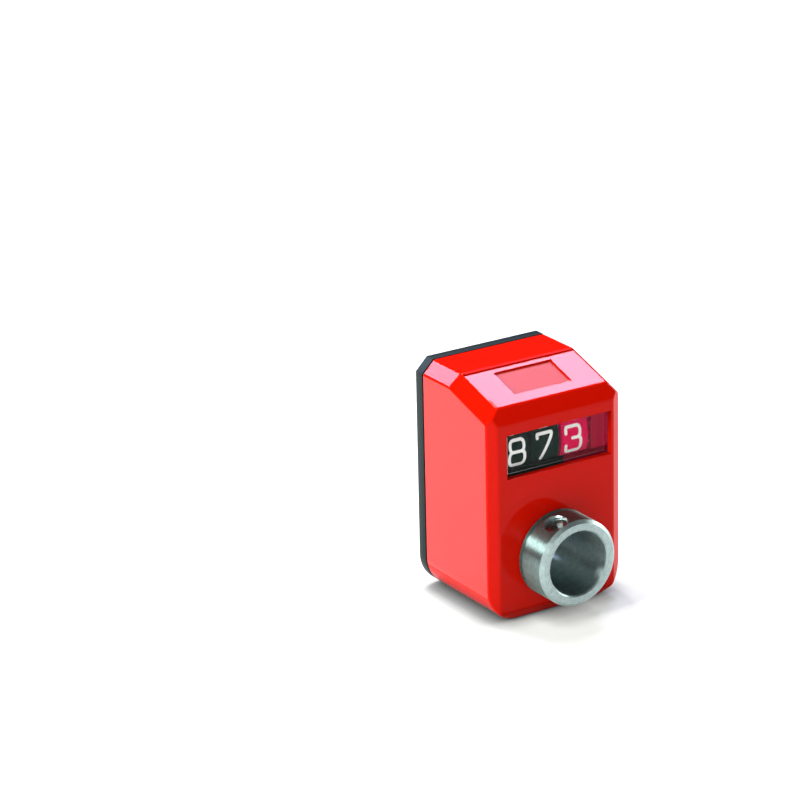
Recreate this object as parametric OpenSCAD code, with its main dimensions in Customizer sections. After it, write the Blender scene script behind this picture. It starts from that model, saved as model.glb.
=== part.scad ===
// Three-digit mechanical position indicator driven by a hollow bush.
// Frame: origin on the bush axis at the rear mounting face, front toward -Y, +Z up, millimetres.

/* [Body] */
// Width of the case and base
body_w = 23.6; // [22.8:0.1:26]
// Depth from the rear face to the front face
body_d = 19.5; // [18.5:0.1:22]
// Height of the flat top above the number wheels
top_room = 3.05; // [2.7:0.05:5]
// Depth of the flat bottom below the gear on the bush
bottom_drop = 1.5; // [1.5:0.05:3]
// Depth of the flat top before it slopes down
flat_d = 9.5; // [8.5:0.1:11]
// Slope of the upper front face, degrees below level
slope_deg = 17.2; // [14:0.1:19]
// Leg of the bevel along both top corners
top_bevel = 2.0; // [1.2:0.1:2.6]
// Radius of both bottom corners
corner_r = 5.2; // [4:0.1:6]
// Side and top wall of the case
wall = 1.2; // [1:0.05:1.4]
// Front wall of the case
front_wall = 1.2; // [1:0.05:1.6]
// Depth of the sloping border round the front face
band_d = 0.8; // [0.4:0.05:1]
// Width of the border at both sides
band_side = 1.6; // [1:0.1:2]
// Height of the border under the slope
band_top = 2.6; // [1.6:0.1:3]
// Height of the border at the bottom
band_bottom = 1.4; // [0.8:0.1:2]

/* [Label seat] */
// Distance of the seat from the top edge of the slope
seat_start = 0.5; // [0.2:0.1:1]
// Length of the seat down the slope
seat_len = 6.9; // [5:0.1:7.5]
// Depth of the seat
seat_depth = 0.2; // [0.1:0.05:0.3]
// Width of the sunk panel in the seat
panel_w = 10.2; // [6:0.1:14]
// Length of the sunk panel down the slope
panel_len = 6.0; // [4:0.1:6.4]
// Depth of the sunk panel below the seat
panel_depth = 0.3; // [0.1:0.05:0.4]

/* [Window] */
// Left edge of the window
window_left = -8.65; // [-9.4:0.05:-8]
// Right edge of the window
window_right = 9.85; // [8.6:0.05:10]
// Depth of the window below the wheel shaft
window_below = 3.05; // [2.8:0.05:3.4]
// Height of the window above the wheel shaft
window_above = 3.75; // [3:0.05:4.2]
// Depth of the pane behind the front face
pane_setback = 0.9; // [0.8:0.1:1.4]
// Thickness of the pane
pane_t = 1.4; // [0.8:0.1:1.6]
// Width of the rim that holds the pane inside the case
pane_rim = 0.9; // [0.6:0.1:1.2]
// Height of the mask bar behind the window's lower edge
mask_rise = 0.75; // [0.2:0.05:0.9]

/* [Base] */
// Thickness of the base plate
base_t = 2.1; // [2:0.05:2.6]
// Thickness left in the base behind the number wheels
floor_t = 1.0; // [0.8:0.05:1.4]
// Depth and height of the shadow groove between base and case
groove = 0.2; // [0.1:0.05:0.3]
// Height of the spigot that enters the case
spigot_h = 1.2; // [0.8:0.1:1.4]
// Thickness of the spigot
spigot_t = 0.8; // [0.6:0.1:1]
// Radius of the anti-rotation pin
stop_pin_r = 2.5; // [2:0.1:3]
// Length of the anti-rotation pin behind the rear face
stop_pin_len = 6; // [4:0.5:10]
// Height of the anti-rotation pin above the bush axis
stop_pin_z = 20; // [16:0.5:22]

/* [Bush] */
// Radius of the bore
bore_r = 5.0; // [4.5:0.1:5.2]
// Outer radius of the front collar
collar_r = 6.7; // [6.6:0.05:7.4]
// Outer radius of the bush inside the case
journal_r = 6.4; // [6.2:0.05:6.6]
// Length of the collar in front of the case
collar_len = 5.6; // [5:0.1:7]
// Bevel on the collar's front edge
collar_bevel = 0.5; // [0.2:0.05:0.6]
// Bevel at the bore's mouth and the bush's rear end
bore_bevel = 0.2; // [0.1:0.05:0.3]
// Width of the relief groove where the collar leaves the case
relief_w = 0.7; // [0.4:0.1:1]
// Depth of the relief groove
relief_depth = 0.5; // [0.3:0.05:0.6]
// Radius of the set screw
screw_r = 1.7; // [1.5:0.1:1.9]
// Distance of the set screw from the collar's front edge
screw_back = 2.5; // [2:0.1:2.8]
// Angle of the set screw to the left of straight up, degrees
screw_angle = 21; // [0:1:90]
// Length of the set screw
screw_len = 0.8; // [0.6:0.1:1.4]
// Width across the flats of the screw's socket
screw_socket = 1.8; // [1.5:0.1:2]
// Pitch of the thread that holds the set screw
thread_pitch = 0.4; // [0.35:0.05:0.7]
// Depth of the thread
thread_depth = 0.28; // [0.2:0.02:0.36]
// Height of the boss round the bush inside the base
boss_h = 1.2; // [0.8:0.1:1.6]
// Thickness of the retaining ring
ring_t = 0.7; // [0.5:0.1:0.9]
// Radius of the seals' section
seal_r = 0.32; // [0.3:0.01:0.34]

/* [Number wheels] */
// Width of a number wheel
wheel_w = 4.8; // [4.7:0.05:4.95]
// Gap from one wheel to the next
wheel_gap = 0.4; // [0.3:0.05:0.5]
// Centre of the middle wheel from the bush axis
tens_x = -0.4; // [-0.5:0.05:-0.2]
// Radial thickness of a wheel's rim
rim_t = 1.05; // [0.9:0.05:1.15]
// Bevel on the edges of the rim
rim_bevel = 0.15; // [0.05:0.05:0.25]
// Radius of the wheel shaft
shaft_r = 1.2; // [1:0.05:1.3]
// Depth of the flat along the wheel shaft
shaft_flat = 0.35; // [0.2:0.05:0.5]
// Thickness of the frame's cheeks
cheek_t = 0.6; // [0.5:0.05:0.7]
// Gap between the right wheel and the guard in front of its gear
guard_gap = 0.25; // [0.15:0.05:0.4]

/* [Carry gearing] */
// Teeth inside a wheel that is driven by carry
ring_teeth = 20; // [20:10:20]
// Teeth of a carry pinion
carry_teeth = 6; // [6:2:6]
// Direction of the carry pinions from the wheel shaft, degrees from level at the rear
carry_dir = 60; // [0:5:180]
// Radius of the pin that a carry pinion turns on
carry_pin_r = 0.6; // [0.5:0.05:0.65]
// Thickness of a carrier disc
carrier_t = 0.6; // [0.5:0.05:0.65]

/* [Drive gearing] */
// Height of the drive gear's pitch circle above the bush
drive_rise = 1.025; // [0.9:0.025:1.2]
// Teeth of the gear on the bush
drive_teeth = 30; // [30:1:30]
// Teeth of the helical pinion on the layshaft
helical_teeth = 5; // [5:1:5]
// Face width of the gear on the bush
drive_w = 4.4; // [3.4:0.1:4.6]
// Length of the helical pinion
helical_len = 5.2; // [4:0.1:6]
// Teeth of the spur pinion on the layshaft
spur_teeth = 11; // [11:1:11]
// Teeth of the gear on the units wheel
units_teeth = 33; // [33:1:33]
// Room between the spur pinion and the front wall
layshaft_room = 0.6; // [0.3:0.05:1]
// Radius of the layshaft
layshaft_r = 0.5; // [0.4:0.05:0.55]

/* [Fits] */
// Radial clearance of a part that turns on or in another
run_fit = 0.05; // [0.03:0.01:0.08]
// Clearance of a part that is pressed or bonded in place
seat_fit = 0.02; // [0.01:0.01:0.04]
// Clearance at the side of a part that turns
side_fit = 0.1; // [0.06:0.01:0.15]
// Clearance round a wheel's rim
rim_fit = 0.3; // [0.25:0.05:0.4]
// Clearance between the counter frame and the case
frame_fit = 0.15; // [0.1:0.01:0.25]

/* [Hidden] */
$fn = 96;
far = 60;

// Crossed helical gears at 45 degrees each, sized from the bush
helix = 45;
drive_r = journal_r + drive_rise;
helical_module = 2 * drive_r * cos(helix) / drive_teeth;
helical_r = drive_r * helical_teeth / drive_teeth;
helical_addendum = 0.8 * helical_module;
layshaft_z = drive_r + helical_r;

// Number wheels, as large as the depth between the pane and the base allows
wall_back = body_d - front_wall;
pane_rear = body_d - pane_setback - pane_t;
wheel_r = (pane_rear - floor_t) / 2 - rim_fit;
wheel_y = -(pane_rear - rim_fit - wheel_r);
rim_in = wheel_r - rim_t;

// Spur pair, with its centres far enough apart for the helical pinion to pass the wheels
spur_centres = wheel_r + helical_r + helical_addendum + rim_fit + side_fit / 2;
spur_module = 2 * spur_centres / (spur_teeth + units_teeth);
spur_r = spur_module * spur_teeth / 2;
units_r = spur_module * units_teeth / 2;
spur_addendum = 0.8 * spur_module;
layshaft_y = -(wall_back - layshaft_room - spur_r - spur_addendum);
layshaft_reach = wheel_y - layshaft_y;
wheel_rise = sqrt(pow(spur_centres, 2) - pow(layshaft_reach, 2));
wheel_z = layshaft_z + wheel_rise;
spur_dir = 180 + atan(wheel_rise / layshaft_reach);
gear_front = -layshaft_y + drive_w / 2;

// Body, sized from the wheels and the bush
half_w = body_w / 2;
inner_half = half_w - wall;
top_z = wheel_z + wheel_r + top_room;
bottom_z = drive_r + helical_addendum + bottom_drop;
window_low = wheel_z - window_below;
window_high = wheel_z + window_above;
slope_end = body_d - band_d;
slope_end_z = top_z - (slope_end - flat_d) * tan(slope_deg);

// Places of the wheels along their shaft
wheel_pitch = wheel_w + wheel_gap;
tens_left = tens_x - wheel_w / 2;
units_left = tens_left + wheel_pitch;
hundreds_left = tens_left - wheel_pitch;
hub_wall = 1.2;
hub_r = shaft_r + hub_wall;

// Cheeks of the counter frame, one beside the left wheel and one along the right wall
cheek_gap = 0.3;
left_cheek = hundreds_left - cheek_gap - cheek_t;
right_cheek = inner_half - frame_fit - cheek_t;

// Places inside a wheel, counted from its left face
carrier_at = 0.8;
web_at = carrier_at + carrier_t + 0.3;
web_t = 1.2;
web_end = web_at + web_t;
pinion_half = (wheel_pitch + carrier_at - 3 * side_fit - web_end) / 2;
pinion_at = carrier_at - side_fit - 2 * pinion_half;

// Carry gearing, sized from the wheels
carry_module = rim_in / (ring_teeth / 2 + 1.25);
ring_r = carry_module * ring_teeth / 2;
carry_r = carry_module * carry_teeth / 2;
carry_arm = ring_r - carry_r;
carry_addendum = 0.8 * carry_module;
carry_tip_in = ring_r - 0.1 * carry_module;
carry_rest = 90;
sleeve_r = carry_arm - carry_r - carry_addendum - 2 * side_fit;

// Bush
bush_end = body_d + collar_len;
front_hole_r = collar_r + run_fit;
washer_r = front_hole_r + 0.65;
rear_hole_r = journal_r + run_fit;
boss_wall = 1.3;
boss_r = journal_r + boss_wall;
boss_end = base_t + boss_h;
seal_groove = 2 * seal_r + 0.16;
seal_sink = 2 * seal_r - run_fit + 0.03;
ring_at = boss_end + side_fit;
ring_sink = 0.4;
ring_gap = 2.4;
screw_at = bush_end - screw_back;
screw_from = bore_r + 0.1;
mouth = 0.35;

// Counter frame
frame_rear = base_t + spigot_h + 0.2;
tie_d = 0.9;
tie_h = 1.4;
tie_drop = sqrt(pow(wheel_r + rim_fit + side_fit, 2) - pow(-wheel_y - frame_rear - tie_d, 2));
foot_inset = wall + run_fit + spigot_t + side_fit;
mask_d = 1.8;
mask_front = pane_rear - 0.05;
mask_high = window_low + mask_rise;
mask_low = layshaft_z + spur_r + spur_module + rim_fit;
guard_left = units_left + wheel_w + guard_gap;
guard_rear = units_r + spur_addendum + side_fit - wheel_y;
guard_high = window_high + rim_fit;

// Extrude a front view toward the front, from one depth to another
module along_y(from, to) {
    translate([0, -from, 0]) rotate([90, 0, 0]) linear_extrude(to - from) children();
}

// Extrude a side view drawn in Y and Z along X
module along_x(from, to) {
    translate([from, 0, 0]) rotate([90, 0, 90]) linear_extrude(to - from) children();
}

// Place a side view on the wheel shaft
module at_wheels() {
    translate([wheel_y, wheel_z]) children();
}

// Cylinder along Y between two depths
module rod_y(r, from, to) {
    along_y(from, to) circle(r);
}

// Front view of case and base, inset evenly
module outline(inset) {
    bevel = top_bevel - inset * (2 - sqrt(2));
    difference() {
        union() {
            translate([-half_w + inset, -bottom_z + corner_r])
                square([body_w - 2 * inset, top_z + bottom_z - corner_r - inset]);
            translate([-half_w + corner_r, -bottom_z + inset])
                square([body_w - 2 * corner_r, corner_r]);
            for (side = [-1, 1])
                translate([side * (half_w - corner_r), -bottom_z + corner_r]) circle(corner_r - inset);
        }
        for (side = [-1, 1])
            translate([side * (half_w - inset), top_z - inset]) rotate(45) square(bevel * sqrt(2), center = true);
    }
}

// Frame of the slope: origin on its top edge, -Y down the slope
module on_slope() {
    translate([0, -flat_d, top_z]) rotate([slope_deg, 0, 0]) children();
}

// Everything under the slope, with the bevelled corners carried along it
module under_slope(inset) {
    bevel = top_bevel - inset * (2 - sqrt(2));
    on_slope() along_y(-far, far) difference() {
        translate([-half_w + inset, -far]) square([body_w - 2 * inset, far - inset]);
        for (side = [-1, 1])
            translate([side * (half_w - inset), -inset]) rotate(45) square(bevel * sqrt(2), center = true);
    }
}

// Outer form of the case: front view, slope, and the border round the front face
module case_form() {
    intersection() {
        along_y(base_t, body_d) outline(0);
        under_slope(0);
        along_x(-half_w, half_w) polygon([
            [0, -bottom_z], [-slope_end, -bottom_z], [-body_d, band_bottom - bottom_z],
            [-body_d, slope_end_z - band_top], [-slope_end, slope_end_z], [-slope_end, far], [0, far]]);
        translate([0, 0, -far]) linear_extrude(2 * far) polygon([
            [-half_w, 0], [-half_w, -slope_end], [band_side - half_w, -body_d],
            [half_w - band_side, -body_d], [half_w, -slope_end], [half_w, 0]]);
    }
}

// Upright rectangle of the window, grown evenly
module window_shape(grow) {
    translate([window_left - grow, window_low - grow])
        square([window_right - window_left + 2 * grow, window_high - window_low + 2 * grow]);
}

module case() {
    color("#d8140f") difference() {
        union() {
            difference() {
                case_form();
                intersection() {
                    along_y(0, wall_back) outline(wall);
                    under_slope(wall);
                }
                rod_y(washer_r + seat_fit, gear_front, wall_back);
            }
            along_y(pane_rear, wall_back) intersection() {
                window_shape(pane_rim);
                outline(wall / 2);
            }
        }
        along_y(0, far) window_shape(0);
        rod_y(front_hole_r, 0, far);
        on_slope() {
            translate([top_bevel - half_w, -seat_start - seat_len, -seat_depth])
                cube([body_w - 2 * top_bevel, seat_len, far]);
            translate([-panel_w / 2, -seat_start - seat_len, -seat_depth - panel_depth])
                cube([panel_w, panel_len, far]);
        }
    }
}

module window_pane() {
    color("#e8f0f0", 0.4) along_y(pane_rear, pane_rear + pane_t) window_shape(-seat_fit);
}

module base() {
    color("#1d2b2d") difference() {
        union() {
            along_y(0, base_t - groove) outline(0);
            along_y(base_t - groove, base_t) outline(groove);
            along_y(base_t, base_t + spigot_h) difference() {
                outline(wall + run_fit);
                outline(wall + run_fit + spigot_t);
            }
            rod_y(boss_r, base_t - groove, boss_end);
            translate([0, 0, stop_pin_z]) {
                rod_y(stop_pin_r, -stop_pin_len + groove, groove);
                translate([0, stop_pin_len, 0]) rotate([90, 0, 0])
                    cylinder(r1 = stop_pin_r - groove, r2 = stop_pin_r, h = groove);
            }
        }
        rod_y(rear_hole_r, -1, far);
        along_x(left_cheek, right_cheek + cheek_t) at_wheels() circle(wheel_r + rim_fit);
    }
}

// Side view of a cheek
module cheek_shape() {
    arm = layshaft_r + 1;
    polygon([
        [-frame_rear, wheel_z - tie_drop - tie_h], [-frame_rear, wheel_z + tie_drop + tie_h],
        [-frame_rear - 2 * tie_d, wheel_z + tie_drop + tie_h], [wheel_y - 2 * shaft_r, wheel_z + 2 * shaft_r],
        [wheel_y - 2 * shaft_r, wheel_z - shaft_r], [seat_fit - guard_rear, mask_high],
        [-mask_front, mask_high], [-mask_front, mask_low],
        [layshaft_y - arm, layshaft_z], [layshaft_y, layshaft_z - arm], [layshaft_y + arm, layshaft_z - arm]]);
}

module counter_frame() {
    color("#20282a") difference() {
        union() {
            for (x = [left_cheek, right_cheek])
                along_x(x, x + cheek_t) cheek_shape();
            along_x(right_cheek, right_cheek + cheek_t) translate([seat_fit - guard_rear, mask_high - tie_h])
                square([guard_rear + wheel_y, guard_high - mask_high + tie_h]);
            along_x(left_cheek, right_cheek + cheek_t) difference() {
                translate([-mask_front, mask_low]) square([mask_d, mask_high - mask_low]);
                at_wheels() circle(wheel_r + rim_fit);
            }
            for (z = [wheel_z - tie_drop - tie_h, wheel_z + tie_drop]) {
                translate([left_cheek, -frame_rear - tie_d, z])
                    cube([right_cheek + cheek_t - left_cheek, tie_d, tie_h]);
                intersection() {
                    translate([left_cheek, -frame_rear - tie_d, z])
                        cube([right_cheek - left_cheek, frame_rear + tie_d - base_t, tie_h]);
                    along_y(base_t, far) outline(foot_inset);
                }
            }
        }
        along_x(-far, far) at_wheels() circle(shaft_r + seat_fit);
        along_x(-far, far) translate([layshaft_y, layshaft_z]) circle(layshaft_r + run_fit);
        along_y(0, far) difference() {
            square(2 * far, center = true);
            outline(wall + frame_fit);
        }
    }
}

// Plate that hides the units gear behind the window, fixed to the mask bar and the right cheek
module gear_guard() {
    color("#a00828") along_x(guard_left, right_cheek + cheek_t)
        translate([-mask_front, mask_high + seat_fit])
            square([mask_front - guard_rear, guard_high - mask_high - seat_fit]);
}

// Section of the wheel shaft where it is flatted
module shaft_section(fit) {
    difference() {
        circle(shaft_r + fit);
        translate([-shaft_r - 1, shaft_r - shaft_flat + fit]) square([2 * shaft_r + 2, 2]);
    }
}

module wheel_shaft() {
    color("#b8bcc0") {
        along_x(left_cheek, left_cheek + cheek_t) at_wheels() circle(shaft_r);
        along_x(left_cheek + cheek_t, right_cheek) at_wheels() shaft_section(0);
        along_x(right_cheek, right_cheek + cheek_t) at_wheels() circle(shaft_r);
    }
}

// Flat toothed disc: trapezium teeth between a root and a tip circle
module toothed_disc(teeth, root, tip, root_share, tip_share) {
    step = 360 / teeth;
    polygon([for (tooth = [0 : teeth - 1], edge = [-1, 1], end = edge < 0 ? [0, 1] : [1, 0])
        let (r = end == 0 ? root : tip, a = step * (tooth + edge * (end == 0 ? root_share : tip_share) / 2))
        r * [cos(a), sin(a)]]);
}

// Rim, web and hub of a number wheel, with its left face at x
module wheel_body(x, hub_from, hub_to) {
    translate([x, wheel_y, wheel_z]) rotate([90, 0, 90]) rotate_extrude() polygon([
        [shaft_r + run_fit, hub_from], [hub_r, hub_from], [hub_r, web_at], [rim_in, web_at], [rim_in, 0],
        [wheel_r - rim_bevel, 0], [wheel_r, rim_bevel], [wheel_r, wheel_w - rim_bevel],
        [wheel_r - rim_bevel, wheel_w], [rim_in, wheel_w], [rim_in, web_end], [hub_r, web_end],
        [hub_r, hub_to], [shaft_r + run_fit, hub_to]]);
}

// Ring of inner teeth that a carry pinion drives, at the wheel's right side
module carry_ring(x) {
    from = x + web_end + 4 * side_fit;
    along_x(from, from + pinion_half - 3 * side_fit) at_wheels() difference() {
        circle(rim_in + rim_t / 2);
        rotate(carry_dir + 180 / ring_teeth)
            toothed_disc(ring_teeth, ring_r - carry_addendum, ring_r + carry_module, 0.76, 0.34);
    }
}

// Two teeth at the wheel's left side that pass the carry pinion once a turn
module carry_pair(x) {
    tooth = 360 / ring_teeth;
    along_x(x + 0.1, x + 0.6) at_wheels() for (side = [-0.5, 0.5])
        rotate(carry_dir - carry_rest + side * tooth) polygon([
            [carry_tip_in, -0.35 * carry_module], [carry_tip_in, 0.35 * carry_module],
            [rim_in + rim_t / 2, carry_module], [rim_in + rim_t / 2, -carry_module]]);
}

module hundreds_wheel() {
    color("#101614") {
        wheel_body(hundreds_left, side_fit - cheek_gap, web_end);
        carry_ring(hundreds_left);
    }
}

module tens_wheel() {
    color("#101614") {
        wheel_body(tens_left, web_at - 0.2, web_end);
        carry_ring(tens_left);
        carry_pair(tens_left);
    }
}

module units_wheel() {
    gear_end = right_cheek - side_fit;
    units_root = units_r - spur_module;
    color("#c8103c") {
        wheel_body(units_left, web_at - 0.2, gear_end - units_left);
        carry_pair(units_left);
        along_x(units_left + wheel_w - 1, gear_end) at_wheels() difference() {
            rotate(spur_dir)
                toothed_disc(units_teeth, units_root, units_r + spur_addendum, 0.6, 0.2);
            circle(units_root - rim_t);
        }
    }
}

// Fixed disc on the wheel shaft that carries one carry pinion, for the wheel with its left face at x
module carrier(x) {
    face = x + carrier_at;
    color("#3a4446") {
        along_x(face, face + carrier_t) at_wheels() difference() {
            circle(carry_arm + carry_pin_r + 0.4);
            shaft_section(seat_fit);
        }
        along_x(x + pinion_at - side_fit, face) at_wheels() difference() {
            circle(sleeve_r);
            shaft_section(seat_fit);
        }
        along_x(x + pinion_at - side_fit, face + carrier_t / 2) at_wheels() rotate(carry_dir)
            translate([carry_arm, 0]) circle(carry_pin_r);
    }
}

module hundreds_carrier() {
    carrier(tens_left);
}

module tens_carrier() {
    carrier(units_left);
}

// Carry pinion: every tooth meets the ring, every second one is long enough to meet the carry pair
module carry_pinion(x) {
    root = carry_r - 0.6;
    color("#d9d6cc") difference() {
        union() {
            along_x(x + pinion_at, x + pinion_at + pinion_half) pinion_shape(carry_teeth, root);
            along_x(x + pinion_at, x + pinion_at + 2 * pinion_half) pinion_shape(carry_teeth / 2, root);
        }
        along_x(-far, far) at_wheels() rotate(carry_dir) translate([carry_arm, 0]) circle(carry_pin_r + run_fit);
    }
}

module pinion_shape(teeth, root) {
    share = teeth / carry_teeth;
    at_wheels() rotate(carry_dir) translate([carry_arm, 0]) rotate(180 / carry_teeth)
        toothed_disc(teeth, root, carry_r + carry_addendum, 0.74 * share, 0.22 * share);
}

module hundreds_carry_pinion() {
    carry_pinion(tens_left);
}

module tens_carry_pinion() {
    carry_pinion(units_left);
}

module layshaft() {
    color("#b8bcc0") along_x(left_cheek, right_cheek + cheek_t)
        translate([layshaft_y, layshaft_z]) circle(layshaft_r);
}

module helical_pinion() {
    turn = helical_len * tan(helix) / helical_r * 180 / PI;
    color("#d9d6cc") translate([0, layshaft_y, layshaft_z]) rotate([90, 0, 90])
        linear_extrude(helical_len, center = true, twist = -turn, slices = 20, $fn = 16) difference() {
            rotate(-90 + 180 / helical_teeth - turn / 2)
                toothed_disc(helical_teeth, helical_r - helical_module, helical_r + helical_addendum, 0.6, 0.24);
            circle(layshaft_r + seat_fit);
        }
}

module spur_pinion() {
    phase = spur_dir + 180 + 180 / spur_teeth;
    from = units_left + wheel_w + rim_fit;
    color("#d9d6cc") along_x(from, right_cheek - rim_fit) translate([layshaft_y, layshaft_z]) difference() {
        rotate(phase) toothed_disc(spur_teeth, spur_r - spur_module, spur_r + spur_addendum, 0.6, 0.2);
        circle(layshaft_r + seat_fit);
    }
}

// Turned bush: bore, collar, journal, two seal grooves and the ring groove
module bush_section() {
    mid_base = base_t / 2;
    mid_front = body_d - front_wall / 2;
    polygon([
        [bore_r, 0], [journal_r - bore_bevel, 0], [journal_r, bore_bevel],
        [journal_r, mid_base - seal_groove / 2], [journal_r - seal_sink, mid_base - seal_groove / 2],
        [journal_r - seal_sink, mid_base + seal_groove / 2], [journal_r, mid_base + seal_groove / 2],
        [journal_r, ring_at - seat_fit], [journal_r - ring_sink, ring_at - seat_fit],
        [journal_r - ring_sink, ring_at + ring_t + seat_fit], [journal_r, ring_at + ring_t + seat_fit],
        [journal_r, gear_front], [collar_r, gear_front],
        [collar_r, mid_front - seal_groove / 2], [collar_r - seal_sink, mid_front - seal_groove / 2],
        [collar_r - seal_sink, mid_front + seal_groove / 2], [collar_r, mid_front + seal_groove / 2],
        [collar_r, body_d], [collar_r - relief_depth, body_d],
        [collar_r - relief_depth, body_d + relief_w], [collar_r, body_d + relief_w],
        [collar_r, bush_end - collar_bevel], [collar_r - collar_bevel, bush_end],
        [bore_r + bore_bevel, bush_end], [bore_r, bush_end - bore_bevel]]);
}

// Place a part on the set screw's axis, with +Z outward
module at_screw() {
    translate([0, -screw_at, 0]) rotate([0, -screw_angle, 0]) children();
}

// Half section of the set screw's hole: thread grooves below a countersunk mouth
module screw_hole_section() {
    turns = floor((collar_r - bore_r - mouth) / thread_pitch);
    start = collar_r - mouth - turns * thread_pitch;
    polygon(concat([[0, 0], [screw_r, 0]],
        [for (turn = [0 : turns - 1], step = [0, 1, 2])
            [screw_r + (step == 1 ? thread_depth : 0), start + (turn + 0.45 * step) * thread_pitch]],
        [[screw_r, collar_r - mouth], [screw_r + 2 * mouth, collar_r + mouth], [0, collar_r + mouth]]));
}

module bush() {
    color("#aab2b2") difference() {
        rotate([90, 0, 0]) rotate_extrude() bush_section();
        at_screw() rotate_extrude($fn = 64) screw_hole_section();
    }
}

module drive_gear() {
    turn = drive_w * tan(helix) / drive_r * 180 / PI;
    color("#d9d6cc") translate([0, layshaft_y, 0]) rotate([90, 0, 0])
        linear_extrude(drive_w, center = true, twist = -turn, slices = 6, $fn = 48) difference() {
            rotate(90 - turn / 2)
                toothed_disc(drive_teeth, drive_r - helical_module, drive_r + helical_addendum, 0.6, 0.24);
            circle(journal_r + seat_fit);
        }
}

module set_screw() {
    color("#4a5052") at_screw() translate([0, 0, screw_from]) difference() {
        cylinder(r = screw_r - seat_fit, h = screw_len, $fn = 64);
        translate([0, 0, screw_len / 3]) cylinder(d = screw_socket / cos(30), h = screw_len, $fn = 6);
    }
}

// Seal ring in a groove of the bush at a given depth
module seal(r, depth) {
    color("#1a1a1a") translate([0, -depth, 0]) rotate([90, 0, 0]) rotate_extrude()
        translate([r - seal_sink + seal_r + seat_fit, 0]) circle(seal_r, $fn = 32);
}

module front_seal() {
    seal(collar_r, body_d - front_wall / 2);
}

module rear_seal() {
    seal(journal_r, base_t / 2);
}

module thrust_washer() {
    color("#8a8f90") along_y(gear_front + side_fit, wall_back) difference() {
        circle(washer_r);
        circle(front_hole_r);
    }
}

module retaining_ring() {
    color("#70787a") along_y(ring_at, ring_at + ring_t) difference() {
        circle(boss_r - seat_fit);
        circle(journal_r - ring_sink + seat_fit);
        translate([-ring_gap / 2, -far]) square([ring_gap, far]);
    }
}

case();
window_pane();
base();
counter_frame();
wheel_shaft();
hundreds_wheel();
tens_wheel();
units_wheel();
hundreds_carrier();
tens_carrier();
hundreds_carry_pinion();
tens_carry_pinion();
layshaft();
helical_pinion();
spur_pinion();
bush();
drive_gear();
set_screw();
front_seal();
rear_seal();
thrust_washer();
retaining_ring();
gear_guard();
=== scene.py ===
import math
import bmesh
import bpy
from mathutils import Matrix, Vector


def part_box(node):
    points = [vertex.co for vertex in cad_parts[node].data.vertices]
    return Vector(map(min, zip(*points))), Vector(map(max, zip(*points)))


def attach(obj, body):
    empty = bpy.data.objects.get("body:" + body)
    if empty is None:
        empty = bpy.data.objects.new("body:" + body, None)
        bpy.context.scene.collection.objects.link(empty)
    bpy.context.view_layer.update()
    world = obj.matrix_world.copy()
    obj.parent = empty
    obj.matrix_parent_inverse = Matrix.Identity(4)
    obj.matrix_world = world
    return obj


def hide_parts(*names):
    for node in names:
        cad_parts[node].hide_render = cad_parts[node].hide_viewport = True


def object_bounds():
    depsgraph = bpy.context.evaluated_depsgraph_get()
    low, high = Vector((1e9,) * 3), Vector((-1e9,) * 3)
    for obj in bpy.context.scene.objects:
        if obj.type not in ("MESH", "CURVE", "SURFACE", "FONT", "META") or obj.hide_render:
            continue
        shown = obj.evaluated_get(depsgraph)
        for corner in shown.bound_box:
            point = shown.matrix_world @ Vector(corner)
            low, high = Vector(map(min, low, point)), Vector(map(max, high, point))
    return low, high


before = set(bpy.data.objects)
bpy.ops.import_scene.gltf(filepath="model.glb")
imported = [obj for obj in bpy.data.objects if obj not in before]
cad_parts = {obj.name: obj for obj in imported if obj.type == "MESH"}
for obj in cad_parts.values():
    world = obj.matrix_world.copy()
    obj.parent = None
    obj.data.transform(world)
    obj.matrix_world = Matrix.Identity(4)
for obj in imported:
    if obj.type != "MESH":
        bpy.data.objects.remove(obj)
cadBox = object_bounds()
scene = bpy.context.scene
mm = 0.001
print("frame loaded", len(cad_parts), "nodes")


def linearColour(hexText):
    channels = []
    for start in (1, 3, 5):
        value = int(hexText[start:start + 2], 16) / 255
        channels.append(value / 12.92 if value <= 0.04045 else ((value + 0.055) / 1.055) ** 2.4)
    return (*channels, 1.0)


def addNode(tree, kind, settings=None, links=None):
    node = tree.nodes.new(kind)
    for key, value in (settings or {}).items():
        if isinstance(key, int) or key in node.inputs:
            node.inputs[key].default_value = value
        else:
            setattr(node, key, value)
    for key, source in (links or {}).items():
        tree.links.new(source, node.inputs[key])
    return node


def newMaterial(name):
    material = bpy.data.materials.new(name)
    material.use_nodes = True
    material.node_tree.nodes.clear()
    return material, material.node_tree


noiseSpan = {"From Min": 0.3, "From Max": 0.7}  # most of a noise texture's values lie in here


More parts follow.
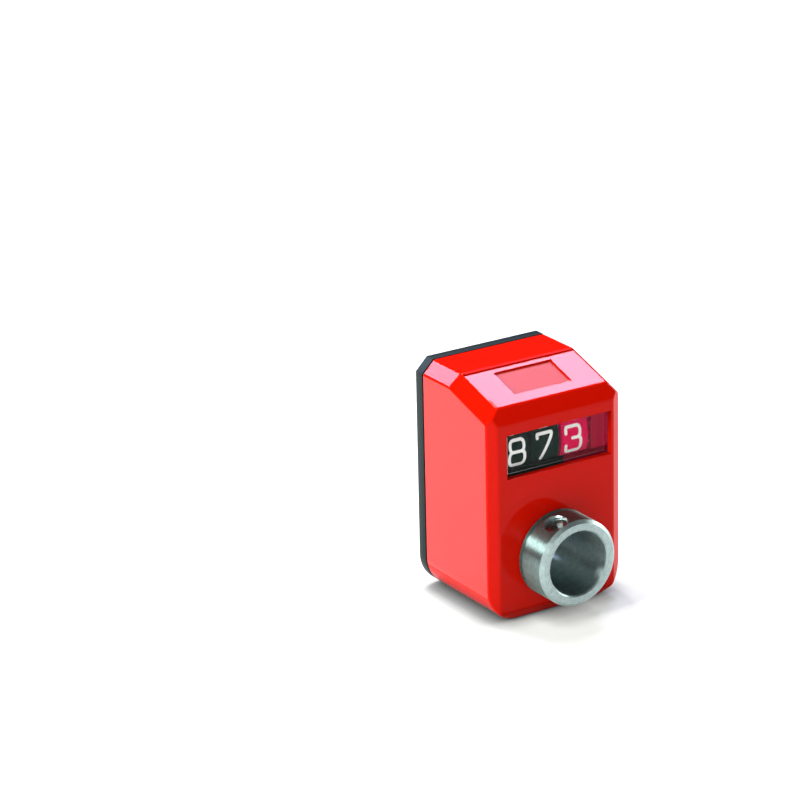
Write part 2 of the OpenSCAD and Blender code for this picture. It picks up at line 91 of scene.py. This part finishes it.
def plainMaterial(name, colour, roughness, metallic=0.0, specular=0.5, grain=(0.2, 0.002), drift=0.04):
    # grain: size and bump height in mm. A real moulded or ground grain of 0.02 to 0.05 mm is too fine
    # to show, so it is drawn at 0.1 to 0.2 mm. drift: how far colour and gloss wander over the surface
    cloudSize = 3.0  # mm, the flow marks of a moulding or the patches of an oil film
    material, tree = newMaterial(name)
    place = addNode(tree, "ShaderNodeTexCoord").outputs["Object"]
    noise = addNode(tree, "ShaderNodeTexNoise", {"Scale": 1 / (grain[0] * mm), "Detail": 3.0},
                    {"Vector": place})
    cloud = addNode(tree, "ShaderNodeTexNoise", {"Scale": 1 / (cloudSize * mm), "Detail": 4.0},
                    {"Vector": place})
    tint = addNode(tree, "ShaderNodeMapRange", {**noiseSpan, "To Min": 1 - drift, "To Max": 1 + drift},
                   {"Value": cloud.outputs["Fac"]})
    shade = addNode(tree, "ShaderNodeVectorMath", {"operation": "SCALE", 0: linearColour(colour)[:3]},
                    {"Scale": tint.outputs["Result"]})
    rough = addNode(tree, "ShaderNodeMapRange", {
        **noiseSpan, "To Min": roughness * (1 - drift), "To Max": roughness * (1 + drift)},
        {"Value": noise.outputs["Fac"]})
    bump = addNode(tree, "ShaderNodeBump", {"Strength": 1.0, "Distance": grain[1] * mm},
                   {"Height": noise.outputs["Fac"]})
    shader = addNode(tree, "ShaderNodeBsdfPrincipled", {
        "Metallic": metallic, "Specular IOR Level": specular},
        {"Base Color": shade.outputs["Vector"], "Roughness": rough.outputs["Result"],
         "Normal": bump.outputs["Normal"]})
    addNode(tree, "ShaderNodeOutputMaterial", links={"Surface": shader.outputs["BSDF"]})
    return material


# ABS moulded against polished steel: a saturated red under a clean mirror skin, with slow flow waves
polishedAbs = plainMaterial("polishedAbs", "#d81303", 0.08, specular=0.08, grain=(2.2, 0.0005), drift=0.015)
# ABS moulded against an etched wall: a fine grain that spreads the light of the room; on the right bevel its
# lighter red and stronger shine are a painted highlight band
etchedAbs = plainMaterial("etchedAbs", "#e8221a", 0.3, specular=0.39, grain=(0.22, 0.003), drift=0.02)
# ABS moulded against a stippled patch: the sunk panel scatters what the slope round it mirrors
stippledAbs = plainMaterial("stippledAbs", "#c4240e", 0.42, specular=0.21, grain=(0.12, 0.004))
# moulded ABS, rubbed down on the lip above the slope where the mould's halves met: it takes no shine
rubbedAbs = plainMaterial("rubbedAbs", "#d81303", 0.35, specular=0.01, grain=(0.1, 0.003))
# glass-filled nylon from a spark-eroded mould: nearly black and dull, with a fine even grain
erodedNylon = plainMaterial("erodedNylon", "#0c1f1c", 0.45, specular=0.16, grain=(0.16, 0.005))
# moulded acetal, dyed black and crimson for the wheels: smooth, a little waxy, with hardly any shine
blackAcetal = plainMaterial("blackAcetal", "#05211a", 0.6, specular=0.04)
crimsonAcetal = plainMaterial("crimsonAcetal", "#ea0350", 0.6, specular=0.02)
# the wheels' crimson acetal, darkened for the guard beside the last wheel: painted shade, as the guard
# stands in the case's shadow
crimsonAcetalPaintedShade = plainMaterial("crimsonAcetalPaintedShade", "#a80030", 0.5, specular=0.01)
# pad-printed ink: a flat white, no shine
printedInk = plainMaterial("printedInk", "#fbfdfa", 0.6, specular=0.2)
# moulded acetal left natural for the gears, and dyed grey for the carriers: a soft even sheen
naturalAcetal = plainMaterial("naturalAcetal", "#e6e3d8", 0.4)
greyAcetal = plainMaterial("greyAcetal", "#6f7573", 0.45)
# silver steel, ground: a close, bright finish
groundSteel = plainMaterial("groundSteel", "#c9cccb", 0.2, 1.0)
# alloy steel, tumbled after hardening: a grey, slightly soft shine on the grub screw
tumbledSteel = plainMaterial("tumbledSteel", "#8f9593", 0.3, 1.0)
# nitrile rubber, moulded: black and dull
mouldedNitrile = plainMaterial("mouldedNitrile", "#141414", 0.6)
# spring steel, rolled and oiled: a darker grey with a soft shine
rolledSpringSteel = plainMaterial("rolledSpringSteel", "#8b8d8c", 0.32, 1.0)


def turnedSteel(name, colour, roughness, stretch, metallic=0.9):
    # turned stainless bar: tool rings round the axis draw each highlight out along it, over a mottled cut.
    # Real rings stand about 0.05 mm apart, which is too fine to show, so they are drawn coarser
    rings = {"pitch": 0.12, "height": 0.0008, "cloud": 0.7}  # mm
    mottle = {"rough": 0.13,  # change of roughness
              "low": 0.35, "high": 0.65, "dark": 0.6, "light": 1.22}  # noise values, and what they scale by
    material, tree = newMaterial(name)
    place = addNode(tree, "ShaderNodeTexCoord").outputs["Object"]
    parts = addNode(tree, "ShaderNodeSeparateXYZ", links={"Vector": place})
    flat = addNode(tree, "ShaderNodeCombineXYZ", links={"X": parts.outputs["X"], "Z": parts.outputs["Z"]})
    radius = addNode(tree, "ShaderNodeVectorMath", {"operation": "LENGTH"}, {0: flat.outputs["Vector"]})
    along = addNode(tree, "ShaderNodeMath", {"operation": "SUBTRACT"},
                    {0: radius.outputs["Value"], 1: parts.outputs["Y"]})
    ring = addNode(tree, "ShaderNodeTexNoise", {
        "noise_dimensions": "1D", "Scale": 1 / (rings["pitch"] * mm), "Detail": 3.0},
        {"W": along.outputs["Value"]})
    cloud = addNode(tree, "ShaderNodeTexNoise", {
        "Scale": 1 / (rings["cloud"] * mm), "Detail": 6.0, "Roughness": 0.7}, {"Vector": place})
    blend = addNode(tree, "ShaderNodeMix", {"data_type": "FLOAT", "Factor": 0.5},
                    {2: ring.outputs["Fac"], 3: cloud.outputs["Fac"]})
    rough = addNode(tree, "ShaderNodeMapRange", {
        **noiseSpan, "To Min": roughness - mottle["rough"], "To Max": roughness + mottle["rough"]},
        {"Value": blend.outputs[0]})
    tint = addNode(tree, "ShaderNodeMapRange", {
        "From Min": mottle["low"], "From Max": mottle["high"],
        "To Min": mottle["dark"], "To Max": mottle["light"]}, {"Value": blend.outputs[0]})
    shade = addNode(tree, "ShaderNodeVectorMath", {"operation": "SCALE", 0: linearColour(colour)[:3]},
                    {"Scale": tint.outputs["Result"]})
    bump = addNode(tree, "ShaderNodeBump", {"Strength": 1.0, "Distance": rings["height"] * mm},
                   {"Height": ring.outputs["Fac"]})
    around = addNode(tree, "ShaderNodeTangent", {"direction_type": "RADIAL", "axis": "Y"})
    shader = addNode(tree, "ShaderNodeBsdfPrincipled", {
        "Metallic": metallic, "Anisotropic": stretch, "Anisotropic Rotation": 0.25},  # a quarter turn
        {"Base Color": shade.outputs["Vector"], "Roughness": rough.outputs["Result"],
         "Normal": bump.outputs["Normal"], "Tangent": around.outputs["Tangent"]})
    addNode(tree, "ShaderNodeOutputMaterial", links={"Surface": shader.outputs["BSDF"]})
    return material


def maskAcetalWithPaintedShade():
    # moulded acetal, black and dull; under the last wheel the mask bar is coloured dark crimson, painted
    # shade that stands in for that wheel's shaded lower rim
    look = {"black": "#0a1512", "crimson": "#70001e", "roughness": 0.5, "specular": 0.05,
            "edge": 2.45, "feather": 0.08, "grain": 0.2, "height": 0.004}  # mm, the edge from the middle
    material, tree = newMaterial("maskAcetalWithPaintedShade")
    place = addNode(tree, "ShaderNodeTexCoord").outputs["Object"]
    parts = addNode(tree, "ShaderNodeSeparateXYZ", links={"Vector": place})
    paintedShadeMask = addNode(tree, "ShaderNodeMapRange", {
        "From Min": look["edge"] * mm, "From Max": (look["edge"] + look["feather"]) * mm},
        {"Value": parts.outputs["X"]})
    colour = addNode(tree, "ShaderNodeMix", {
        "data_type": "RGBA", 6: linearColour(look["black"]), 7: linearColour(look["crimson"])},
        {0: paintedShadeMask.outputs["Result"]})
    grain = addNode(tree, "ShaderNodeTexNoise", {"Scale": 1 / (look["grain"] * mm), "Detail": 3.0},
                    {"Vector": place})
    bump = addNode(tree, "ShaderNodeBump", {"Strength": 1.0, "Distance": look["height"] * mm},
                   {"Height": grain.outputs["Fac"]})
    shader = addNode(tree, "ShaderNodeBsdfPrincipled", {
        "Roughness": look["roughness"], "Specular IOR Level": look["specular"]},
        {"Base Color": colour.outputs[2], "Normal": bump.outputs["Normal"]})
    addNode(tree, "ShaderNodeOutputMaterial", links={"Surface": shader.outputs["BSDF"]})
    return material


def clearAcrylic():
    # moulded acrylic: clear, it bends what lies behind it and hardly shines; its shadow lets light through
    look = {"colour": "#fdfffe", "shine": "#4a4a4a", "ior": 1.42}  # 1.49 is typical, matched to the object
    material, tree = newMaterial("clearAcrylic")
    path = addNode(tree, "ShaderNodeLightPath")
    glass = addNode(tree, "ShaderNodeBsdfPrincipled", {
        "Base Color": linearColour(look["colour"]), "Roughness": 0.0, "IOR": look["ior"],
        "Transmission Weight": 1.0, "Specular Tint": linearColour(look["shine"])})
    clear = addNode(tree, "ShaderNodeBsdfTransparent")
    mix = addNode(tree, "ShaderNodeMixShader", links={
        0: path.outputs["Is Shadow Ray"], 1: glass.outputs["BSDF"], 2: clear.outputs["BSDF"]})
    addNode(tree, "ShaderNodeOutputMaterial", links={"Surface": mix.outputs["Shader"]})
    return material


def dress(piece, *materials):
    piece.data.materials.clear()
    for material in materials:
        piece.data.materials.append(material)


def meshOf(shape, label):
    mesh = bpy.data.meshes.new(label)
    shape.to_mesh(mesh)
    shape.free()
    return mesh


def addPiece(label, mesh, body, *materials):
    piece = bpy.data.objects.new(label, mesh)
    scene.collection.objects.link(piece)
    dress(piece, *materials)
    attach(piece, body)
    print(label, len(mesh.polygons), "faces")
    return piece


edgeLook = {
    "weld": 0.002, "near": 0.1,  # mm: points this close are joined, and this close to a side lies on it
    "flat": 0.6, "soft": 12, "sharp": 20,  # degrees between faces
    "segments": 4,
}


def joinFlats(shape):
    bmesh.ops.dissolve_limit(shape, angle_limit=math.radians(edgeLook["flat"]),
                             verts=shape.verts, edges=shape.edges)


def edgePlace(edge):
    # the angle between its faces in degrees, and its middle in mm
    return math.degrees(edge.calc_face_angle(0.0)), (edge.verts[0].co + edge.verts[1].co) / 2 / mm


def softEdges(piece, width):
    bevel = piece.modifiers.new("softEdges", "BEVEL")
    bevel.limit_method = "WEIGHT"
    bevel.width = width * mm
    bevel.segments = edgeLook["segments"]
    bevel.use_clamp_overlap = False
    return bevel


def smoothCopy(node, softness=None, widest=1.0):
    # a smooth copy of the solid; where softness(middle) is given, its flat faces are joined up
    # and its edges get that softness in mm as a bevel weight, as a share of the widest
    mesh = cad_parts[node].data.copy()
    shape = bmesh.new()
    shape.from_mesh(mesh)
    bmesh.ops.remove_doubles(shape, verts=shape.verts, dist=edgeLook["weld"] * mm)
    if softness:
        joinFlats(shape)
    weights = shape.edges.layers.float.new("bevel_weight_edge")
    for edge in shape.edges:
        if len(edge.link_faces) != 2:
            continue
        angle, middle = edgePlace(edge)
        size = softness(middle) if softness and angle > edgeLook["soft"] else 0.0
        edge.smooth = not (angle > edgeLook["sharp"] and size == 0)
        edge[weights] = size / widest
    for face in shape.faces:
        face.smooth = True
    shape.to_mesh(mesh)
    shape.free()
    return mesh


caseLook = {
    "corner": 0.3, "slopeEdge": 0.03, "rim": 0.15,  # mm, the roundings of the moulding's edges
    "inset": 0.0001,  # a share, so that the rounded skin stays inside the solid
    "crease": 25, "slope": 17.2,  # degrees
    "crest": -9.5, "lip": -10.0,  # mm, where the slope starts and how far down its lip reaches
    "panelSide": 5.0, "panelFront": -17.2, "panelBack": -10.2,  # mm, round the sunk panel
    "panelSunk": 0.3, "panelDeepest": 1.5,  # mm below the slope
    # limits of a face's normal: it looks up, to the side or to the front, or leans as the lip and slope do
    "up": 0.9, "side": 0.98, "bevelLow": 0.3, "bevelHigh": 0.6, "front": -0.75,
    "lipLean": -0.2, "slopeLean": -0.25, "level": 0.02,
}


def roundedSkin(source, low, high):
    # the moulding's outer skin is convex: the hull of the case, rounded, then cut to the case's own openings
    shape = bmesh.new()
    for vertex in source.data.vertices:
        shape.verts.new(vertex.co)
    hull = bmesh.ops.convex_hull(shape, input=shape.verts)
    inside = [v for v in hull["geom_interior"] if isinstance(v, bmesh.types.BMVert)]
    bmesh.ops.delete(shape, geom=inside, context="VERTS")
    joinFlats(shape)
    weights = shape.edges.layers.float.new("bevel_weight_edge")
    for edge in shape.edges:
        angle, middle = edgePlace(edge)
        if angle > edgeLook["soft"]:
            onSlope = angle < edgeLook["sharp"] and middle.z > high.z - edgeLook["near"]
            size = caseLook["slopeEdge"] if onSlope else caseLook["corner"]
            onRim = middle.y > high.y - edgeLook["near"]
            edge[weights] = (caseLook["rim"] if onRim else size) / caseLook["corner"]
    centre = (low + high) / 2 * mm
    for vertex in shape.verts:
        vertex.co += (centre - vertex.co) * caseLook["inset"]
    skin = bpy.data.objects.new("caseSkin", meshOf(shape, "caseSkin"))
    scene.collection.objects.link(skin)
    softEdges(skin, caseLook["corner"])
    cut = skin.modifiers.new("openings", "BOOLEAN")
    cut.operation = "INTERSECT"
    cut.object = source
    cut.solver = "EXACT"
    mesh = bpy.data.meshes.new_from_object(skin.evaluated_get(bpy.context.evaluated_depsgraph_get()))
    bpy.data.objects.remove(skin)
    mesh.shade_smooth()
    mesh.set_sharp_from_angle(angle=math.radians(caseLook["crease"]))
    return mesh


def caseFinish(face, high):
    # the finish that a face was moulded with
    x, y, z = face.center / mm
    across, along, upward = face.normal
    sunk = high.z - (caseLook["crest"] - y) * math.tan(math.radians(caseLook["slope"])) - z
    looksUp = upward > caseLook["up"]
    inPanel = abs(x) < caseLook["panelSide"] and caseLook["panelFront"] < y < caseLook["panelBack"]
    if inPanel and looksUp and caseLook["panelSunk"] < sunk < caseLook["panelDeepest"]:
        return stippledAbs
    onSide = abs(across) > caseLook["side"] and abs(x) > high.x - edgeLook["near"]
    # the right bevel alone takes the etched red, lighter and shinier than the front: a painted highlight
    # band along that edge
    onRightBevelHighlight = caseLook["bevelLow"] < across < caseLook["bevelHigh"] and along < caseLook["front"]
    if onSide or onRightBevelHighlight:
        return etchedAbs
    onLip = y > caseLook["lip"] and looksUp and along < caseLook["lipLean"]
    return rubbedAbs if onLip else polishedAbs


def liesOnSlope(normal):
    return (normal.z > caseLook["up"] and normal.y < caseLook["slopeLean"]
            and abs(normal.x) < caseLook["level"])


def caseShell():
    low, high = (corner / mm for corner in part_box("case"))
    mesh = roundedSkin(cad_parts["case"], low, high)
    finishes = [polishedAbs, stippledAbs, etchedAbs, rubbedAbs]
    piece = addPiece("caseShell", mesh, "housing", *finishes)
    for face in mesh.polygons:
        face.material_index = finishes.index(caseFinish(face, high))
        if liesOnSlope(face.normal):
            face.use_smooth = False  # the slope and what is sunk in it stay flat up to their steps
    piece.modifiers.new("flatFaces", "WEIGHTED_NORMAL").keep_sharp = True
    piece.visible_diffuse = False  # the floor keeps a grey shadow, with no red cast
    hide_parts("case")


def baseShell():
    look = {"rim": 0.25, "edge": 0.06,  # mm of rounding, on the rear outline and elsewhere
            "rear": -0.1, "pin": 0.3, "side": 8.0, "top": 24.0, "bottom": -7.0}  # mm, where they lie

    def softness(middle):
        x, y, z = middle
        if y > look["pin"]:
            return 0.0  # the stop pin ends square
        onOutline = abs(x) > look["side"] or z > look["top"] or z < look["bottom"]
        return look["rim"] if y > look["rear"] and onOutline else look["edge"]

    piece = addPiece("baseShell", smoothCopy("base", softness, look["rim"]), "housing", erodedNylon)
    bevel = softEdges(piece, look["rim"])
    bevel.harden_normals = True
    bevel.miter_outer = "MITER_ARC"
    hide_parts("base")


def bushTurned():
    look = {"lean": 0.2, "boreWall": 5.5}  # how far a turned wall may lean to the front, and mm of radius
    # one stainless bar, but the collar and the bore are given darker steel colours than the faced end:
    # painted shade on the turned side and in the bore
    faced = turnedSteel("facedSteel", "#a6b9b7", 0.4, 0.4)
    collar = turnedSteel("collarSteelPaintedShade", "#88a29e", 0.42, 0.98, 0.95)
    bore = turnedSteel("boreSteelPaintedShade", "#9db0ae", 0.42, 0.95)
    finishes = [faced, collar, bore]
    piece = addPiece("bushTurned", smoothCopy("bush"), "bush", *finishes)
    for face in piece.data.polygons:
        x, y, z = face.center / mm
        if abs(face.normal.y) < look["lean"]:
            face.material_index = finishes.index(collar if math.hypot(x, z) > look["boreWall"] else bore)
    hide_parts("bush")


caseShell()
baseShell()
bushTurned()

inner = {
    "window_pane": clearAcrylic(), "counter_frame": maskAcetalWithPaintedShade(), "wheel_shaft": groundSteel,
    "hundreds_wheel": blackAcetal, "tens_wheel": blackAcetal, "units_wheel": crimsonAcetal,
    "hundreds_carrier": greyAcetal, "tens_carrier": greyAcetal,
    "hundreds_carry_pinion": naturalAcetal, "tens_carry_pinion": naturalAcetal,
    "layshaft": groundSteel, "helical_pinion": naturalAcetal, "spur_pinion": naturalAcetal,
    "drive_gear": naturalAcetal, "set_screw": tumbledSteel,
    "front_seal": mouldedNitrile, "rear_seal": mouldedNitrile, "thrust_washer": groundSteel,
    "retaining_ring": rolledSpringSteel, "gear_guard": crimsonAcetalPaintedShade,
}
for node, material in inner.items():
    dress(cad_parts[node], material)
print("materials on", len(inner), "inner nodes")


def paneEdgePaintedGlint():
    # painted highlight: a thin pale bevel strip on the pane, clear of the case along the bottom and the
    # left, standing in for the glint of its polished edge
    look = {"width": 0.1, "inset": 0.48, "proud": 0.004,  # mm
            "taper": 0.15,  # the share of the width that is left at the right
            "colour": "#d4dedb", "roughness": 0.2, "specular": 0.6, "alpha": 0.6}
    low, high = (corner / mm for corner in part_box("window_pane"))
    width = look["width"]
    left, right = low.x + look["inset"], high.x - look["inset"]
    under, over = low.z + look["inset"], high.z - look["inset"]
    outer = [(left, over), (left, under), (right, under)]
    inside = [(left + width, over - width), (left + width, under + width),
              (right - width, under + width * look["taper"])]
    shape = bmesh.new()
    rings = [[shape.verts.new((x * mm, (low.y - depth) * mm, z * mm)) for x, z in loop]
             for loop, depth in ((outer, look["proud"]), (inside, width))]
    for i in (0, 1):
        shape.faces.new((rings[0][i], rings[0][i + 1], rings[1][i + 1], rings[1][i]))
    # acrylic in a pale, half-clear colour: a painted highlight line where the polished edge would catch the
    # light
    edge = plainMaterial("acrylicPaintedGlint", look["colour"], look["roughness"], specular=look["specular"])
    edge.node_tree.nodes["Principled BSDF"].inputs["Alpha"].default_value = look["alpha"]
    piece = addPiece("paneEdgePaintedGlint", meshOf(shape, "paneEdgePaintedGlint"), "housing", edge)


digitLook = {
    "height": 4.38, "width": 3.22, "stroke": 0.51,  # mm, over the strokes
    "fromLeft": 2.4, "drop": 0.07,  # mm, the middle of a digit from the wheel's left end and below its axis
    "lift": 0.012, "overlap": 0.002,  # mm of ink above the wheel, and of a second stroke above the first
    "step": 0.25, "count": 10,  # mm between points, and digits on a wheel
    "bend": 8, "end": 10,  # points in a rounded corner and round a stroke's end
}
numberBands = {"hundreds": (8, 0.3), "tens": (7, -0.2), "units": (3, -0.33)}  # digit shown, mm to the right


def rounded(points, radius):
    # the same line with its inner corners rounded
    line = [points[0]]
    for before, at, after in zip(points, points[1:], points[2:]):
        a, b = Vector(before) - Vector(at), Vector(after) - Vector(at)
        cut = min(radius, a.length * 0.5, b.length * 0.5)
        start, end = Vector(at) + a.normalized() * cut, Vector(at) + b.normalized() * cut
        for i in range(digitLook["bend"] + 1):
            t = i / digitLook["bend"]
            line.append(tuple(start * (1 - t) ** 2 + Vector(at) * 2 * t * (1 - t) + end * t * t))
    return line + [points[-1]]


def digitStrokes(value):
    # centre lines in a box from -1 to 1 both ways, drawn as a pen would, with square-shouldered bowls
    ring = [(0, 1), (1, 1), (1, -1), (-1, -1), (-1, 1), (0, 1)]
    shapes = {
        0: [rounded(ring, 0.95)],
        1: [rounded([(-0.5, 0.5), (0.15, 1), (0.15, -1)], 0.1)],
        2: [rounded([(-0.95, 0.4), (-0.95, 1), (0.9, 1), (0.9, 0.15), (-0.95, -1), (1, -1)], 0.55)],
        3: [rounded([(-0.95, 0.5), (-0.95, 1), (0.9, 1), (0.9, 0.06), (-0.1, 0.06)], 0.8),
            rounded([(0.2, 0.06), (1, 0.06), (1, -1), (-0.95, -1), (-0.95, -0.5)], 0.8)],
        4: [rounded([(0.45, -1), (0.45, 1), (-1, -0.4), (1, -0.4)], 0.06)],
        5: [rounded([(0.85, 1), (-0.8, 1), (-0.8, 0.15), (1, 0.15), (1, -1), (-0.95, -1), (-0.95, -0.5)],
                    0.5)],
        6: [rounded([(0.75, 1), (-0.2, 1), (-1, 0.1), (-1, -1), (1, -1), (1, 0.1), (-0.98, 0.1)], 0.6)],
        7: [rounded([(-0.95, 0.7), (-0.95, 1), (0.95, 1), (0.9, 0.75), (-0.5, -1)], 0.12)],
        8: [rounded([(0, 0.06), (0.9, 0.06), (0.9, 1), (-0.9, 1), (-0.9, 0.06), (0, 0.06)], 0.55),
            rounded([(0, 0.06), (1, 0.06), (1, -1), (-1, -1), (-1, 0.06), (0, 0.06)], 0.6)],
        9: [rounded([(-0.75, -1), (0.2, -1), (1, -0.1), (1, 1), (-1, 1), (-1, -0.1), (0.98, -0.1)], 0.6)],
    }
    return shapes[value]


def inSteps(points):
    # the same line with points close enough together to follow the wheel's curve
    line = []
    for (x0, y0), (x1, y1) in zip(points, points[1:]):
        parts = max(1, int(math.hypot(x1 - x0, y1 - y0) / digitLook["step"]))
        line += [(x0 + (x1 - x0) * i / parts, y0 + (y1 - y0) * i / parts) for i in range(parts)]
    return line + [points[-1]]


def strokeFaces(points, half):
    # a ribbon of width 2*half along points, with round ends
    sides = []
    for i, (x, y) in enumerate(points):
        px, py = points[max(i - 1, 0)]
        nx, ny = points[min(i + 1, len(points) - 1)]
        length = math.hypot(nx - px, ny - py) or 1.0
        dx, dy = (nx - px) / length, (ny - py) / length
        sides.append(((x - dy * half, y + dx * half), (x + dy * half, y - dx * half)))
    faces = [[a[0], a[1], b[1], b[0]] for a, b in zip(sides, sides[1:])]
    for end, other in ((points[0], points[1]), (points[-1], points[-2])):
        away = math.atan2(end[1] - other[1], end[0] - other[0])
        turns = [away + math.pi * (i / digitLook["end"] - 0.5) for i in range(digitLook["end"] + 1)]
        faces.append([(end[0] + half * math.cos(turn), end[1] + half * math.sin(turn)) for turn in turns])
    return faces


def numberBand(body, shown, aside):
    # ten digits in ink round a wheel; the middle wheel's axis and radius hold for all three
    low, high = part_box("tens_wheel")
    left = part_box(body + "_wheel")[0].x / mm
    axisY, axisZ = (low.y + high.y) / 2, (low.z + high.z) / 2
    radius = (high.y - low.y) / 2 / mm
    centre = left + digitLook["fromLeft"] + aside
    halfW = (digitLook["width"] - digitLook["stroke"]) / 2
    halfH = (digitLook["height"] - digitLook["stroke"]) / 2
    shape = bmesh.new()
    for step in range(digitLook["count"]):
        ahead = math.radians(360 / digitLook["count"] * step)
        for order, stroke in enumerate(digitStrokes((shown + step) % digitLook["count"])):
            line = inSteps([(x * halfW, y * halfH - digitLook["drop"]) for x, y in stroke])
            reach = (radius + digitLook["lift"] + digitLook["overlap"] * order) * mm
            for face in strokeFaces(line, digitLook["stroke"] / 2):
                corners = []
                for x, y in face:
                    turn = y / radius + ahead
                    forward, rise = reach * math.cos(turn), reach * math.sin(turn)
                    corners.append(shape.verts.new(((centre + x) * mm, axisY - forward, axisZ + rise)))
                shape.faces.new(corners)
    bmesh.ops.remove_doubles(shape, verts=shape.verts, dist=edgeLook["weld"] / 2 * mm)
    for face in shape.faces:
        middle = face.calc_center_median()
        if face.normal.dot(Vector((0, middle.y - axisY, middle.z - axisZ))) < 0:
            face.normal_flip()
    addPiece(body + "Numbers", meshOf(shape, body + "Numbers"), body, printedInk)


paneEdgePaintedGlint()
for body, (shown, aside) in numberBands.items():
    numberBand(body, shown, aside)


def studio():
    look = {"size": 6.0, "paintedContactShade": 3.8,  # m, and mm
            "colour": "#d9d7d0", "roughness": 0.9, "specular": 0.1, "white": "#ffffff", "lift": 0.4,
            "room": "#4a4d50", "roomStrength": 0.6}
    bpy.ops.mesh.primitive_plane_add(size=look["size"], location=(0, 0, cadBox[0].z))
    floor = bpy.context.object
    floor.name = "floor"
    # matt paper: pale and even; what the camera sees of it is lifted to white
    material, tree = newMaterial("mattPaper")
    path = addNode(tree, "ShaderNodeLightPath")
    seen = addNode(tree, "ShaderNodeMath", {"operation": "ADD"},
                   {0: path.outputs["Is Camera Ray"], 1: path.outputs["Is Glossy Ray"]})
    shown = addNode(tree, "ShaderNodeMath", {"operation": "ADD", "use_clamp": True},
                    {0: seen.outputs["Value"], 1: path.outputs["Is Transmission Ray"]})
    # painted contact shadow: ambient occlusion darkens the paper and its lift in a narrow line where a part
    # stands on it, which wide lamps alone wash out
    paintedContactShade = addNode(tree, "ShaderNodeAmbientOcclusion", {"samples": 8, "Distance": look["paintedContactShade"] * mm})
    paper = addNode(tree, "ShaderNodeVectorMath", {
        "operation": "SCALE", 0: linearColour(look["colour"])[:3]}, {"Scale": paintedContactShade.outputs["AO"]})
    bright = addNode(tree, "ShaderNodeMath", {"operation": "MULTIPLY", 1: look["lift"]},
                     {0: shown.outputs["Value"]})
    lift = addNode(tree, "ShaderNodeMath", {"operation": "MULTIPLY"},
                   {0: bright.outputs["Value"], 1: paintedContactShade.outputs["AO"]})
    shader = addNode(tree, "ShaderNodeBsdfPrincipled", {
        "Roughness": look["roughness"], "Specular IOR Level": look["specular"],
        "Emission Color": linearColour(look["white"])},
        {"Base Color": paper.outputs["Vector"], "Emission Strength": lift.outputs["Value"]})
    addNode(tree, "ShaderNodeOutputMaterial", links={"Surface": shader.outputs["BSDF"]})
    dress(floor, material)
    scene.world = bpy.data.worlds.new("room")
    scene.world.use_nodes = True
    background = scene.world.node_tree.nodes["Background"]
    background.inputs["Color"].default_value = linearColour(look["room"])
    background.inputs["Strength"].default_value = look["roomStrength"]
    print("floor and room")


lampAim = Vector((0, -0.01, 0.01))  # m, near the middle of the part
lamps = {  # direction from the part, then distance, width and height in m, power in W and tint
    "slopeBox": ((0.496, 0.463, 0.734), 0.6, 0.15, 0.126, 2.0, "#d4d8ff"),  # mirrored by the slope
    "backBox": ((-0.344, 0.797, 0.496), 0.6, 0.135, 0.12, 1.6, "#d2d8ff"),  # mirrored by the top left bevel
    "topBox": ((-0.02, 0.42, 0.907), 0.6, 0.2, 0.2, 2.8, "#ffffff"),  # the shadow under the front
    "sideBox": ((-0.885, -0.05, 0.46), 0.55, 0.17, 0.17, 3.2, "#ffffff"),  # the stripe along the collar
    "frontBox": ((-0.25, -0.92, 0.3), 0.7, 0.4, 0.4, 1.0, "#ffffff"),  # the digits behind the pane
    "fillBox": ((0.97, -0.12, 0.2), 0.7, 0.3, 0.3, 2.4, "#ffffff"),  # the right side
}


def softbox(name, direction, distance, width, height, power, tint):
    # an area lamp that faces the part from that direction
    light = bpy.data.lights.new(name, "AREA")
    light.shape = "RECTANGLE"
    light.size = width
    light.size_y = height
    light.energy = power
    light.color = linearColour(tint)[:3]
    lamp = bpy.data.objects.new(name, light)
    toward = Vector(direction).normalized()
    lamp.location = toward * distance + lampAim
    lamp.rotation_euler = toward.to_track_quat("Z", "Y").to_euler()
    scene.collection.objects.link(lamp)


def camera():
    fit = {"azimuth": -31.88, "elevation": 20.14, "roll": -1.38,  # degrees
           "right": -12.77, "up": 16.97, "distance": 531.30,  # mm
           "lens": 157.18, "sensor": 36, "near": 0.01, "far": 20}  # mm, mm, m, m
    az, el, roll = (math.radians(fit[key]) for key in ("azimuth", "elevation", "roll"))
    back = Vector((math.sin(az) * math.cos(el), -math.cos(az) * math.cos(el), math.sin(el)))
    level = Vector((math.cos(az), math.sin(az), 0))
    upright = back.cross(level)
    right = math.cos(roll) * level + math.sin(roll) * upright
    up = math.cos(roll) * upright - math.sin(roll) * level
    data = bpy.data.cameras.new("camera")
    data.sensor_width = fit["sensor"]
    data.lens = fit["lens"]
    data.clip_start = fit["near"]
    data.clip_end = fit["far"]
    data.dof.use_dof = False
    eye = bpy.data.objects.new("camera", data)
    eye.matrix_world = Matrix((right, up, back)).transposed().to_4x4()
    eye.location = (back * fit["distance"] + right * fit["right"] + up * fit["up"]) * mm
    scene.collection.objects.link(eye)
    scene.camera = eye


studio()
for name, settings in lamps.items():
    softbox(name, *settings)
print("lamps", len(lamps))
camera()
scene.view_settings.view_transform = "Standard"

print("scene ready")
